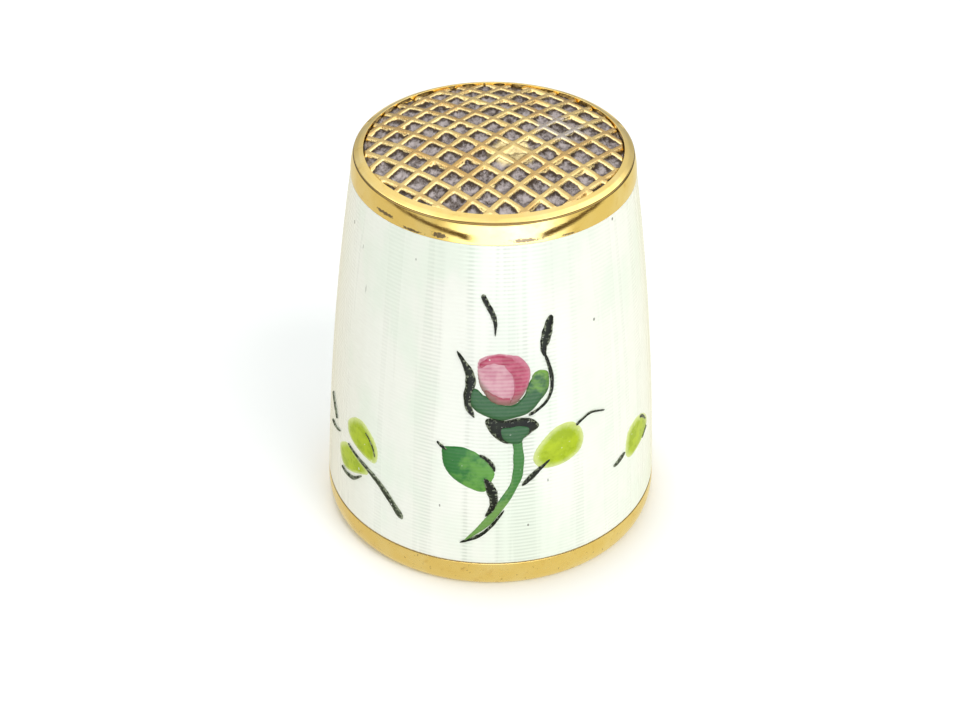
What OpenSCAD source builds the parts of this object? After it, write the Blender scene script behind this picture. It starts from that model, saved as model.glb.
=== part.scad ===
// Enamelled silver-gilt thimble: an engine-turned tapered wall under white enamel, with a
// gold foot rim, a gold collar, a domed cap with a cut waffle grid, and painted rosebuds.
// The origin is the centre of the open foot and +Z points to the crown.

/* [Body] */
// Outside diameter of the gold foot rim
foot_d = 17.2; // [16.4:0.1:18.4]
// Height of the foot rim, where the enamel starts
foot_h = 1.5; // [1.3:0.05:2.4]
// Outside diameter of the enamel at the foot rim
enamel_low_d = 17.16; // [16.4:0.02:17.18]
// Outside diameter of the enamel under the collar
enamel_top_d = 13.8; // [13.2:0.1:14.4]
// Height where the enamel ends and the collar starts
enamel_top_z = 19.25; // [17:0.05:22]
// How far the side bellies out at half height
belly = 0.23; // [0:0.01:0.4]
// Thickness of the silver wall
wall_t = 0.45; // [0.35:0.05:0.6]
// Thickness of the enamel coat
enamel_t = 0.35; // [0.2:0.05:0.45]
// Height of the straight stretch inside the mouth
mouth_land = 2; // [1:0.1:4]

/* [Crown] */
// Height of the collar's side band
collar_h = 1.1; // [0.8:0.1:1.6]
// How far the side band leans in
collar_lean = 0.18; // [0:0.02:0.3]
// Width of the sloping gold margin round the grid
margin_w = 0.48; // [0.3:0.02:0.8]
// Rise of the sloping margin
margin_rise = 0.2; // [0.1:0.02:0.4]
// Rise of the domed cap above its own edge
dome_rise = 0.77; // [0.4:0.01:1.2]
// How far the cap's edge sits below the margin
cap_drop = 0.08; // [0:0.02:0.14]
// Thickness of the cap, ridges included
cap_t = 0.62; // [0.5:0.02:0.8]
// Distance from one grid ridge to the next
grid_pitch = 1.13; // [0.9:0.01:1.5]
// Width of a grid ridge
ridge_w = 0.28; // [0.2:0.02:0.4]
// Depth of the grid's pits
pit_depth = 0.28; // [0.1:0.02:0.32]

/* [Painting] */
// Thickness of a painted stroke
paint_t = 0.04; // [0.03:0.01:0.06]
// Lines along each painted stroke
stroke_rings = 9; // [6:1:12]

/* [Hidden] */
$fn = 160;

gilt = [0.86, 0.7, 0.38];
solder_grey = [0.72, 0.7, 0.62];
mint_white = [0.95, 0.98, 0.92];
petal_pink = [0.9, 0.62, 0.74];
deep_rose = [0.8, 0.28, 0.45];
calyx_green = [0.25, 0.5, 0.32];
leaf_green = [0.22, 0.52, 0.3];
lime = [0.74, 0.82, 0.2];
outline_dark = [0.16, 0.19, 0.15];

foot_r = foot_d / 2;
enamel_low_r = enamel_low_d / 2;
enamel_top_r = enamel_top_d / 2;
shoulder_r = enamel_top_r - collar_lean;
shoulder_z = enamel_top_z + collar_h;
field_r = shoulder_r - margin_w;
margin_z = shoulder_z + margin_rise;
cap_edge_z = margin_z - cap_drop;
crown_z = cap_edge_z + dome_rise;
dome_r = (field_r * field_r + dome_rise * dome_rise) / (2 * dome_rise);
film_t = 0.05;
seat_w = 0.24;
seat_z = cap_edge_z - cap_t;
collar_bore_r = field_r - seat_w;
shell_top_z = enamel_top_z - film_t;
foot_shell_r = enamel_low_r - enamel_t;
mouth_r = skin_r(mouth_land) - enamel_t - wall_t;
film_edge = 0.25;
foot_round_h = 1;
foot_flat = 0.02;
wall_steps = 16;
arc_steps = 8;
over = 1;

// Directions of the two families of ridges, and where a ridge of each passes the axis
grid_turns = [51.8, 138.7];
grid_shifts = [-0.27, 0];

// Radius at which a flat drawing is wrapped round the side
wrap_r = 8;
crown_fall = 0.5;
end_share = 0.16;
spray_turn = 120;
sprig_turn = 60;

// Each stroke is [width, where it is fullest from 0 to 1, columns, points of its middle line],
// with points as [distance round the side, height] and the spray's own middle at distance 0
petal_strokes = [
    [1.75, 0.4, 6, [[0.05, 13.8], [0.1, 12.45], [0.5, 10.85]]],
    [0.75, 0.5, 4, [[-0.62, 13.35], [-0.55, 12.3], [0.02, 11.35]]]
];
shading_strokes = [
    [0.32, 0.6, 4, [[-0.68, 13.25], [0.05, 13.75], [0.9, 13.6], [1.5, 13.05]]],
    [1.0, 0.45, 4, [[1.4, 13.45], [1.45, 12.25], [0.85, 10.95]]]
];
calyx_strokes = [
    [1.0, 0.5, 4, [[-0.85, 12.05], [-0.4, 10.8], [0.55, 10.35], [1.7, 10.7]]],
    [0.95, 0.65, 4, [[1.35, 10.45], [2.2, 11.35], [2.4, 12.7]]],
    [0.75, 0.5, 4, [[0.3, 9.3], [1, 9.35], [1.75, 9.35]]]
];
stem_strokes = [
    [0.55, 0.25, 2, [[1.25, 9.05], [1.35, 7.8], [1.3, 6.65], [0.9, 5.6], [0, 4.25], [-1.35, 2.75]]]
];
dark_leaf_strokes = [
    [1.7, 0.45, 6, [[-2.45, 8.2], [-1.35, 7.55], [0.15, 6.35]]]
];
lime_leaf_strokes = [
    [1.95, 0.5, 6, [[2.05, 7.15], [3.2, 8.15], [4.6, 9.05]]]
];
outline_strokes = [
    [0.34, 0.35, 2, [[-1.65, 13.7], [-1.12, 12.95], [-1.2, 11.75], [-0.85, 10.3]]],
    [0.5, 0.3, 2, [[3, 15.45], [2.75, 14.55], [2.65, 13.35]]],
    [0.14, 0.5, 2, [[2.7, 13.25], [3, 12.15], [2.75, 10.95], [1.85, 10.05]]],
    [0.28, 0.25, 2, [[-0.5, 16.75], [-0.1, 16], [0.1, 14.75]]],
    [0.42, 0.4, 2, [[-0.25, 9.95], [0.1, 9.2], [0.8, 8.85]]],
    [0.3, 0.5, 2, [[-0.05, 9.9], [1, 9.85], [2.2, 10.05]]],
    [0.26, 0.5, 2, [[1.75, 9], [2.2, 9.55]]],
    [0.2, 0.4, 2, [[-0.5, 8.05], [0, 7.65], [0.25, 7.25]]],
    [0.4, 0.4, 2, [[-0.2, 6.75], [0.15, 6.05], [0.1, 5.25], [-0.25, 4.5]]],
    [0.15, 0.5, 2, [[-2.6, 8.5], [-2.1, 8.2]]],
    [0.26, 0.6, 2, [[2.75, 7.55], [2.2, 6.95], [1.5, 6.15]]],
    [0.12, 0.3, 2, [[4.25, 9.05], [4.7, 9.35], [5.3, 9.45], [6, 9.2]]]
];
pair_leaves = [
    [1.3, 0.5, 4, [[0.35, 7.95], [1.35, 6.85], [2.5, 5.75]]],
    [1.1, 0.5, 4, [[-0.7, 5.45], [0.35, 4.8], [1.9, 4.55]]]
];
pair_stems = [
    [0.5, 0.8, 2, [[0.15, 5.75], [1.65, 5.3], [2.85, 4.45], [4, 3.25]]],
    [0.12, 0.5, 2, [[1.55, 7.25], [2.1, 6.8], [2.25, 6.35]]],
    [0.2, 0.5, 2, [[-0.5, 4], [0.4, 3.7], [1.35, 4.25]]],
    [0.3, 0.5, 2, [[-2.7, 7.85], [-1.9, 6.65], [-0.9, 5.7]]]
];
single_leaf = [
    [1.15, 0.5, 4, [[-0.75, 4.95], [0.3, 5.95], [1.6, 7.35]]]
];
single_stem = [
    [0.18, 0.4, 2, [[-0.6, 5.15], [0.5, 6.15], [1.5, 7.45]]],
    [0.26, 0.3, 2, [[-1.85, 4.7], [-1, 5.45]]]
];

// Radius of the enamel's outer face at height z
function skin_r(z) = let (t = (z - foot_h) / (enamel_top_z - foot_h))
    enamel_low_r + (enamel_top_r - enamel_low_r) * t + 4 * belly * t * (1 - t);

// Points of a face that follows the enamel's outer face, `inset` inside it, from z0 to z1
function wall_line(inset, z0, z1) =
    [for (k = [0:wall_steps]) let (z = z0 + (z1 - z0) * k / wall_steps) [skin_r(z) - inset, z]];

// Point of the drawing, wrapped round the enamel and standing `lift` proud of it
function on_skin(p, lift) = let (r = skin_r(p[1]) + lift, a = p[0] / wrap_r * 180 / PI)
    [r * sin(a), -r * cos(a), p[1]];

// Smooth curve through the points p, at s from 0 to 1
function through(p, s) = let (
        last = len(p) - 1,
        i = min(floor(s * last), last - 1),
        t = s * last - i,
        a = i > 0 ? p[i - 1] : 2 * p[0] - p[1],
        d = i + 2 <= last ? p[i + 2] : 2 * p[last] - p[last - 1],
        b = p[i],
        c = p[i + 1]
    )
    b + t / 2 * (c - a) + t * t / 2 * (2 * a - 5 * b + 4 * c - d)
    + t * t * t / 2 * (3 * b - a - 3 * c + d);

// Share of the full width at s, for a stroke that is fullest at `fat`
function swell(s, fat) = let (t = s < fat ? s / fat : (1 - s) / (1 - fat))
    end_share + (1 - end_share) * sqrt(1 - (1 - t) * (1 - t));

function unit(v) = v / norm(v);

// Point of a stroke at s along it and x across it, from -1 to 1
function stroke_point(line, width, fat, s, x) = let (
        d = unit(through(line, min(s + 0.01, 1)) - through(line, max(s - 0.01, 0)))
    )
    through(line, s) + [-d[1], d[0]] * x * width / 2 * swell(s, fat);

// One painted stroke: a thin ribbon wrapped on the enamel, crowned a little along its middle
module stroke(s, lift = 0) {
    cols = s[2];
    rows = stroke_rings;
    row = cols + 1;
    back = row * (rows + 1);
    outer = [for (i = [0:rows], j = [0:cols]) let (x = 2 * j / cols - 1)
        on_skin(stroke_point(s[3], s[0], s[1], i / rows, x), lift + paint_t * (1 - crown_fall * x * x))];
    inner = [for (i = [0:rows], j = [0:cols]) let (x = 2 * j / cols - 1)
        on_skin(stroke_point(s[3], s[0], s[1], i / rows, x), lift)];
    face_rows = [for (i = [0:rows - 1], j = [0:cols - 1]) let (p = i * row + j)
        each [[p, p + 1, p + row + 1], [p, p + row + 1, p + row]]];
    back_rows = [for (f = face_rows) [f[2] + back, f[1] + back, f[0] + back]];
    sides = [for (i = [0:rows - 1]) let (p = i * row, q = p + cols) each [
        [p, p + row, p + row + back], [p, p + row + back, p + back],
        [q, q + row + back, q + row], [q, q + back, q + row + back]
    ]];
    ends = [for (j = [0:cols - 1]) let (p = j, q = rows * row + j) each [
        [p, p + back, p + 1 + back], [p, p + 1 + back, p + 1],
        [q, q + 1 + back, q + back], [q, q + 1, q + 1 + back]
    ]];
    polyhedron(concat(outer, inner), concat(face_rows, back_rows, sides, ends), convexity = 6);
}

module strokes(list, turn, flip, lift = 0) {
    rotate([0, 0, turn]) mirror([flip, 0, 0]) for (s = list) stroke(s, lift);
}

// Tapered silver wall, open at the foot and at the collar
module side_shell() {
    inside = enamel_t + wall_t;
    color(gilt) rotate_extrude() polygon(concat(
        [[mouth_r, 0], [foot_shell_r, 0]],
        wall_line(enamel_t, foot_h, shell_top_z),
        wall_line(inside, shell_top_z, mouth_land)
    ));
}

// Straight bars of one family of ridges
module ridges(turn, shift) {
    count = ceil(field_r / grid_pitch);
    for (k = [-count:count])
        rotate([0, 0, turn]) translate([-foot_r, shift + k * grid_pitch - ridge_w / 2, seat_z])
            cube([2 * foot_r, ridge_w, crown_z]);
}

module dome(r, edge) {
    intersection() {
        translate([0, 0, crown_z - dome_r]) sphere(r = r);
        translate([0, 0, seat_z - over]) cylinder(r = edge, h = crown_z);
    }
}

// Domed cap: a thin disc with two crossing families of ridges standing between cut pits
module crown_cap() {
    color(gilt) difference() {
        union() {
            dome(dome_r - pit_depth, field_r);
            intersection() {
                dome(dome_r, field_r);
                union() {
                    ridges(grid_turns[0], grid_shifts[0]);
                    ridges(grid_turns[1], grid_shifts[1]);
                }
            }
        }
        translate([0, 0, seat_z - 2 * over]) cylinder(r = foot_r, h = 2 * over);
        dome(dome_r - cap_t, collar_bore_r);
    }
}

// Gold collar: side band, sloping margin and the inner seat that the cap drops into
module crown_collar() {
    color(gilt) rotate_extrude() polygon(concat(
        [[collar_bore_r, enamel_top_z]],
        [for (k = [0:arc_steps]) let (t = k / arc_steps)
            [enamel_top_r - collar_lean * t * t, enamel_top_z + collar_h * t]],
        [[field_r + margin_w / 2, shoulder_z + 0.6 * margin_rise], [field_r, margin_z]],
        [[field_r, seat_z - film_t], [collar_bore_r, seat_z - film_t]]
    ));
}

// Gold foot rim with a rounded lower edge, and a shallow recess inside for its solder
module foot_rim() {
    color(gilt) rotate_extrude() polygon(concat(
        [[foot_shell_r, 0]],
        [for (k = [0:arc_steps]) let (a = 90 * k / arc_steps)
            [foot_r - (foot_r - foot_shell_r - foot_flat) * (1 - sin(a)), foot_round_h * (1 - cos(a))]],
        [[enamel_low_r, foot_h], [foot_shell_r, foot_h]],
        [[foot_shell_r, foot_h - film_edge], [foot_shell_r + film_t, foot_h - film_edge]],
        [[foot_shell_r + film_t, film_edge], [foot_shell_r, film_edge]]
    ));
}

module ring(inner_r, outer_r, z, h) {
    translate([0, 0, z]) rotate_extrude() translate([inner_r, 0]) square([outer_r - inner_r, h]);
}

module foot_solder() {
    color(solder_grey)
        ring(foot_shell_r, foot_shell_r + film_t, film_edge, foot_h - 2 * film_edge);
}

module collar_solder() {
    color(solder_grey)
        ring(skin_r(shell_top_z) - enamel_t - wall_t, skin_r(shell_top_z) - enamel_t, shell_top_z, film_t);
}

module cap_solder() {
    color(solder_grey) ring(collar_bore_r, field_r, seat_z - film_t, film_t);
}

// White enamel coat between the foot rim and the collar
module enamel_ground() {
    color(mint_white) rotate_extrude() polygon(concat(
        wall_line(0, foot_h, enamel_top_z),
        [[skin_r(shell_top_z) - enamel_t, enamel_top_z]],
        wall_line(enamel_t, shell_top_z, foot_h)
    ));
}

module front_rosebud_petals() { color(petal_pink) strokes(petal_strokes, 0, 0); }
module front_rosebud_shading() { color(deep_rose) strokes(shading_strokes, 0, 0, paint_t); }
module front_rosebud_calyx() { color(calyx_green) strokes(calyx_strokes, 0, 0); }
module front_rosebud_stem() { color(calyx_green) strokes(stem_strokes, 0, 0); }
module front_rosebud_dark_leaf() { color(leaf_green) strokes(dark_leaf_strokes, 0, 0); }
module front_rosebud_lime_leaf() { color(lime) strokes(lime_leaf_strokes, 0, 0); }
module front_rosebud_outlines() { color(outline_dark) strokes(outline_strokes, 0, 0, paint_t); }

module right_rosebud_petals() { color(petal_pink) strokes(petal_strokes, spray_turn, 0); }
module right_rosebud_shading() { color(deep_rose) strokes(shading_strokes, spray_turn, 0, paint_t); }
module right_rosebud_calyx() { color(calyx_green) strokes(calyx_strokes, spray_turn, 0); }
module right_rosebud_stem() { color(calyx_green) strokes(stem_strokes, spray_turn, 0); }
module right_rosebud_dark_leaf() { color(leaf_green) strokes(dark_leaf_strokes, spray_turn, 0); }
module right_rosebud_lime_leaf() { color(lime) strokes(lime_leaf_strokes, spray_turn, 0); }
module right_rosebud_outlines() {
    color(outline_dark) strokes(outline_strokes, spray_turn, 0, paint_t);
}

module left_rosebud_petals() { color(petal_pink) strokes(petal_strokes, -spray_turn, 1); }
module left_rosebud_shading() { color(deep_rose) strokes(shading_strokes, -spray_turn, 1, paint_t); }
module left_rosebud_calyx() { color(calyx_green) strokes(calyx_strokes, -spray_turn, 1); }
module left_rosebud_stem() { color(calyx_green) strokes(stem_strokes, -spray_turn, 1); }
module left_rosebud_dark_leaf() { color(leaf_green) strokes(dark_leaf_strokes, -spray_turn, 1); }
module left_rosebud_lime_leaf() { color(lime) strokes(lime_leaf_strokes, -spray_turn, 1); }
module left_rosebud_outlines() {
    color(outline_dark) strokes(outline_strokes, -spray_turn, 1, paint_t);
}

module left_sprig_leaves() { color(lime) strokes(pair_leaves, -sprig_turn, 0); }
module left_sprig_stems() { color(outline_dark) strokes(pair_stems, -sprig_turn, 0, paint_t); }
module right_sprig_leaves() { color(lime) strokes(single_leaf, sprig_turn, 0); }
module right_sprig_stems() { color(outline_dark) strokes(single_stem, sprig_turn, 0, paint_t); }
module back_sprig_leaves() { color(lime) strokes(pair_leaves, 180, 1); }
module back_sprig_stems() { color(outline_dark) strokes(pair_stems, 180, 1, paint_t); }

side_shell();
crown_cap();
crown_collar();
foot_rim();
foot_solder();
collar_solder();
cap_solder();
enamel_ground();
front_rosebud_petals();
front_rosebud_shading();
front_rosebud_calyx();
front_rosebud_stem();
front_rosebud_dark_leaf();
front_rosebud_lime_leaf();
front_rosebud_outlines();
right_rosebud_petals();
right_rosebud_shading();
right_rosebud_calyx();
right_rosebud_stem();
right_rosebud_dark_leaf();
right_rosebud_lime_leaf();
right_rosebud_outlines();
left_rosebud_petals();
left_rosebud_shading();
left_rosebud_calyx();
left_rosebud_stem();
left_rosebud_dark_leaf();
left_rosebud_lime_leaf();
left_rosebud_outlines();
left_sprig_leaves();
left_sprig_stems();
right_sprig_leaves();
right_sprig_stems();
back_sprig_leaves();
back_sprig_stems();
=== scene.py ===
"""Looks of the enamelled thimble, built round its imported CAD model.

Lengths are in millimetres until a mesh is made. Drawing coordinates on the side are
(distance round the side at wrap radius, height), with 0 at the front, facing -Y.
"""
import math
import bpy
import numpy as np
from mathutils import Matrix, Vector


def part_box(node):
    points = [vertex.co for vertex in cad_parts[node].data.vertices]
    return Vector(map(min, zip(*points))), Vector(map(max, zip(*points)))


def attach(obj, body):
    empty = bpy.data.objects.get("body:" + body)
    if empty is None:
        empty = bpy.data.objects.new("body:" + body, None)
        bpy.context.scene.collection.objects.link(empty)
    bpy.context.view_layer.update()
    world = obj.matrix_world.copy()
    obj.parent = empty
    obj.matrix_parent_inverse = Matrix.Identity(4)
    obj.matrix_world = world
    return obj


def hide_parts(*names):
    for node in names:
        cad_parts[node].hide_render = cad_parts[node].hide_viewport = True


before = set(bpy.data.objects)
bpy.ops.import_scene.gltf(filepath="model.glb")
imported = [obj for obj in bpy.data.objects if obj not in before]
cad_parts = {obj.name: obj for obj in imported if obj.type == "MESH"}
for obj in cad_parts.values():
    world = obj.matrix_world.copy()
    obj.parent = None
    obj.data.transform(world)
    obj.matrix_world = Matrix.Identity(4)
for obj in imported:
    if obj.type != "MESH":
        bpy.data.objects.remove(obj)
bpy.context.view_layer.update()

MM = 0.001
TAU = 2 * math.pi


def high(node):
    """Highest corner of a CAD node, in millimetres."""
    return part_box(node)[1] / MM


def low(node):
    """Lowest corner of a CAD node, in millimetres."""
    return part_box(node)[0] / MM


# Dimensions that the frame gives
FOOT_R = high("foot_rim").x
FOOT_H = high("foot_rim").z
SKIN_LOW_R = high("enamel_ground").x
SKIN_TOP_Z = high("enamel_ground").z
SKIN_TOP_R = high("crown_collar").x
MARGIN_Z = high("crown_collar").z
CROWN_Z = high("crown_cap").z
SEAT_Z = low("crown_cap").z
FIELD_R = high("crown_cap").x
SHELL_R = high("side_shell").x
SHELL_TOP_Z = high("side_shell").z

# Dimensions of the design that a box can't give
BELLY = 0.23  # how far the side bows out half way up
WALL_T = 0.45
ENAMEL_T = SKIN_LOW_R - SHELL_R
MOUTH_LAND = 2.0  # height of the straight part of the mouth
FOOT_ROUND_H = 1.0  # height of the rounding on the foot's outer edge
COLLAR_LEAN = 0.18  # how much the band narrows up to its shoulder
COLLAR_H = 1.1
CAP_EDGE_Z = MARGIN_Z - 0.08
SEAT_W = 0.24  # width of the ledge under the cap
FILM = 0.05  # thickness of a solder joint
LINE_PITCH = 0.207  # engine-turned lines
LINE_DEPTH = 0.006
WRAP_R = 8.0  # radius at which the drawing's distances round the side are true

# The crown's dome, as a sphere through its edge and its top
DOME_RISE = CROWN_Z - CAP_EDGE_Z
DOME_R = (FIELD_R ** 2 + DOME_RISE ** 2) / (2 * DOME_RISE)

# The waffle grid: two families of ridges with pits between them
GRID_PITCH = 1.13
GRID_TURNS = (51.8, 138.7)
GRID_SHIFTS = (-0.18, 0.06)
RIDGES = 15  # in each family
RIDGE_W = 0.22
WALL_DROP = 0.11  # steep part of a pit's wall
PIT_SLOPE = 0.62
MOAT_W, MOAT_SOFT, MOAT_DEPTH = 0.07, 0.05, 0.15  # groove inside the crown's edge
WORN_SPOT = (0.9, -1.5)  # where the ridges are rubbed low
BARE_SPOT = (3.2, 0.9)  # where the gilding is rubbed through

# Fineness of the meshes
RING_SEGMENTS = 320
ENAMEL_SEGMENTS = 276
SHELL_SEGMENTS = 160
CROWN_CELLS = 292


def skin_radius(z):
    """Radius of the enamel's outer face at height z."""
    t = (z - FOOT_H) / (SKIN_TOP_Z - FOOT_H)
    return SKIN_LOW_R + (SKIN_TOP_R - SKIN_LOW_R) * t + 4 * BELLY * t * (1 - t)


def around(radius, turn):
    """X and Y at a radius, `turn` degrees round from the front."""
    a = math.radians(turn)
    return radius * math.sin(a), -radius * math.cos(a)


# ---------------------------------------------------------------- meshes


def add_mesh(name, points, faces, material, replaces, maps=None):
    """A smooth mesh piece from points in millimetres, which stands for a CAD node."""
    mesh = bpy.data.meshes.new(name)
    mesh.from_pydata((np.asarray(points, float) * MM).tolist(), [], faces)
    mesh.polygons.foreach_set("use_smooth", [True] * len(mesh.polygons))
    if maps is not None:
        index = np.zeros(len(mesh.loops), int)
        mesh.loops.foreach_get("vertex_index", index)
        for title, columns in (("drawing", (0, 1)), ("edge", (2, 2))):
            layer = mesh.uv_layers.new(name=title)
            layer.data.foreach_set("uv", maps[:, columns][index].ravel())
    mesh.materials.append(material)
    mesh.update()
    piece = bpy.data.objects.new(name, mesh)
    bpy.context.scene.collection.objects.link(piece)
    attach(piece, "root")
    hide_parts(replaces)


def grid_faces(rows, cols, wrap_rows=False, wrap_cols=False):
    """Quads between the points of a rows by cols grid."""
    r = np.arange(rows if wrap_rows else rows - 1)
    c = np.arange(cols if wrap_cols else cols - 1)
    r, c = np.meshgrid(r, c, indexing="ij")
    r2, c2 = (r + 1) % rows, (c + 1) % cols
    quads = np.stack([r * cols + c, r * cols + c2, r2 * cols + c2, r2 * cols + c], -1)
    return quads.reshape(-1, 4)


def rounded(corners, steps=5):
    """Closed outline with each corner (x, y, radius) rounded by an arc-like curve."""
    out = []
    count = len(corners)
    for k, (x, y, radius) in enumerate(corners):
        here = np.array([x, y])
        before = np.array(corners[k - 1][:2]) - here
        after = np.array(corners[(k + 1) % count][:2]) - here
        if radius <= 0:
            out.append(here)
            continue
        a = here + before / np.linalg.norm(before) * min(radius, np.linalg.norm(before) * 0.45)
        b = here + after / np.linalg.norm(after) * min(radius, np.linalg.norm(after) * 0.45)
        for s in np.linspace(0, 1, steps):
            out.append((1 - s) ** 2 * a + 2 * s * (1 - s) * here + s * s * b)
    return np.array(out)


def filled(outline, longest):
    """The closed outline with extra points, so that no edge is longer than `longest`."""
    out = []
    for k in range(len(outline)):
        a, b = outline[k], outline[(k + 1) % len(outline)]
        steps = max(1, int(math.ceil(np.linalg.norm(b - a) / longest)))
        out += [a + (b - a) * s / steps for s in range(steps)]
    return np.array(out)


def revolve(name, outline, segments, material, replaces, wobble=None):
    """Solid of revolution of a closed (radius, height) outline, anticlockwise."""
    turns = np.arange(segments) / segments * TAU
    r, angle = np.meshgrid(outline[:, 0], turns, indexing="ij")
    z = np.broadcast_to(outline[:, 1][:, None], r.shape)
    if wobble:
        r = r + wobble(angle, z)
    points = np.stack([r * np.sin(angle), -r * np.cos(angle), z], -1).reshape(-1, 3)
    faces = grid_faces(len(outline), segments, wrap_rows=True, wrap_cols=True).tolist()
    add_mesh(name, points, faces, material, replaces)


# ---------------------------------------------------------------- materials


def colour(red, green, blue):
    """Linear colour from the 0 to 255 values of a screen colour."""
    def linear(c):
        c /= 255
        return c / 12.92 if c <= 0.04045 else ((c + 0.055) / 1.055) ** 2.4
    return (linear(red), linear(green), linear(blue), 1.0)


class Nodes:
    """Short ways to add nodes to a tree."""

    def __init__(self, tree):
        self.tree = tree

    def add(self, kind):
        """A new node of one kind."""
        return self.tree.nodes.new("ShaderNode" + kind)

    def put(self, socket, value):
        """Links a node's output to a socket, or sets the socket's own value."""
        if isinstance(value, bpy.types.NodeSocket):
            self.tree.links.new(value, socket)
        else:
            socket.default_value = value

    def math(self, operation, a, b=0.0, c=0.0):
        """A sum, product or other operation on numbers."""
        node = self.add("Math")
        node.operation = operation
        for socket, value in zip(node.inputs, (a, b, c)):
            self.put(socket, value)
        return node.outputs[0]

    def vector(self, operation, a, b=(0, 0, 0), scale=1.0):
        """An operation on vectors."""
        node = self.add("VectorMath")
        node.operation = operation
        self.put(node.inputs[0], a)
        self.put(node.inputs[1], b)
        if operation == "SCALE":
            self.put(node.inputs["Scale"], scale)
        return node.outputs["Value" if operation in ("LENGTH", "DISTANCE", "DOT_PRODUCT") else "Vector"]

    def combine(self, x, y, z):
        """A vector from its x, y and z."""
        node = self.add("CombineXYZ")
        for socket, value in zip(node.inputs, (x, y, z)):
            self.put(socket, value)
        return node.outputs[0]

    def split(self, value):
        """The x, y and z of a vector."""
        node = self.add("SeparateXYZ")
        self.put(node.inputs[0], value)
        return node.outputs

    def noise(self, place, scale, detail=3.0, roughness=0.55):
        """Smooth noise round 0.5, with `scale` cells to a millimetre."""
        node = self.add("TexNoise")
        self.put(node.inputs["Vector"], place)
        node.inputs["Scale"].default_value = scale
        node.inputs["Detail"].default_value = detail
        node.inputs["Roughness"].default_value = roughness
        return node.outputs["Fac"]

    def span(self, value, start, end, low_out=0.0, high_out=1.0):
        """Smooth step of a value from low_out at start to high_out at end."""
        node = self.add("MapRange")
        node.interpolation_type = "SMOOTHSTEP"
        for socket, item in zip(node.inputs, (value, start, end, low_out, high_out)):
            self.put(socket, item)
        return node.outputs[0]

    def fade(self, share, a, b):
        """The number a at share 0, to b at share 1."""
        return self.math("MULTIPLY_ADD", self.math("SUBTRACT", b, a), share, a)

    def ray(self, kind):
        """1 for light rays of one kind, otherwise 0."""
        return self.add("LightPath").outputs[kind]

    def mix(self, share, a, b):
        """The colour a at share 0, to b at share 1."""
        node = self.add("Mix")
        node.data_type = "RGBA"
        self.put(node.inputs["Factor"], share)
        self.put(node.inputs[6], a)
        self.put(node.inputs[7], b)
        return node.outputs[2]


class Look(Nodes):
    """A procedural material, with places in millimetres."""

    def __init__(self, name, **fixed):
        self.material = bpy.data.materials.new(name)
        self.material.use_nodes = True
        super().__init__(self.material.node_tree)
        self.shader = self.tree.nodes["Principled BSDF"]
        for socket, value in fixed.items():
            self.shader.inputs[socket.replace("_", " ")].default_value = value
        place = self.add("TexCoord").outputs["Object"]
        self.place = self.vector("SCALE", place, scale=1 / MM)
        self.x, self.y, self.z = self.split(self.place)

    def bump(self, height, strength, distance):
        """A normal that shows a height as relief, `distance` millimetres deep."""
        node = self.add("Bump")
        node.inputs["Strength"].default_value = strength
        node.inputs["Distance"].default_value = distance * MM
        self.put(node.inputs["Height"], height)
        return node.outputs[0]

    def drawing(self, title):
        """One of the maps kept in a painted piece, as a vector."""
        node = self.add("UVMap")
        node.uv_map = title
        return node.outputs[0]

    def round_place(self, height_share):
        """Place on the side with the radius taken out, so that patterns run up it."""
        flat = self.combine(self.x, self.y, 0.0)
        unit = self.vector("NORMALIZE", flat)
        rise = self.combine(0.0, 0.0, self.math("MULTIPLY", self.z, height_share))
        return self.vector("ADD", self.vector("SCALE", unit, scale=WRAP_R), rise)

    def turned_lines(self):
        """0 to 1 across each engine-turned line."""
        drift = self.noise(self.round_place(0.4), 0.5, 2.0)
        phase = self.math("MULTIPLY_ADD", self.z, TAU / LINE_PITCH, self.math("MULTIPLY", drift, 1.5))
        return self.math("MULTIPLY_ADD", self.math("SINE", phase), 0.5, 0.5)

    def streaks(self):
        """Soft upright bands where the turned lines catch the light."""
        fine = self.noise(self.round_place(0.03), 1.1, 2.0, 0.6)
        broad = self.noise(self.round_place(0.05), 0.28, 1.0)
        return self.math("MULTIPLY_ADD", fine, 0.65, self.math("MULTIPLY", broad, 0.35))

    def finish(self, base, rough=None, normal=None, metal=None):
        """The material, with the values put in its shader."""
        for socket, value in (("Base Color", base), ("Roughness", rough),
                              ("Normal", normal), ("Metallic", metal)):
            if value is not None:
                self.put(self.shader.inputs[socket], value)
        return self.material


GOLD = colour(244, 214, 132)
GOLD_DEEP = colour(224, 184, 100)
GOLD_PALE = colour(252, 234, 176)
RIDGE_GOLD = colour(232, 204, 138)
RIDGE_DEEP = colour(206, 170, 108)
SILVER_WORN = colour(196, 186, 178)
# brown of tarnish stains and dark joints, also used as painted shade in grooves and along the crown's pits
TARNISH_AND_SHADE = colour(84, 58, 30)
SOOT = colour(56, 43, 32)
ASH = colour(172, 163, 163)
MINT = colour(251, 253, 244)
MINT_SHADE = colour(186, 192, 180)
MINT_CLEAR = colour(232, 248, 230)
# painted reflection and shade for the enamel's left side
MINT_LEFT_REFLECTION = colour(232, 226, 210)
SPECK = colour(56, 60, 50)
WORN_GREY = colour(126, 118, 108)
SOLDER_DULL = colour(160, 150, 132)
DRY_GAP = colour(146, 154, 130)
PINK_HALO = colour(226, 186, 194)
WET_EDGE = colour(112, 104, 78)

# Grey marks on the collar: turn, height, half length, half height
COLLAR_MARKS = ((-20.8, 19.49, 0.45, 0.15), (12.6, 19.46, 0.85, 0.11), (-47.0, 19.6, 0.6, 0.1),
                (-33.0, 19.37, 0.6, 0.08), (31.0, 19.35, 0.4, 0.06))

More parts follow.
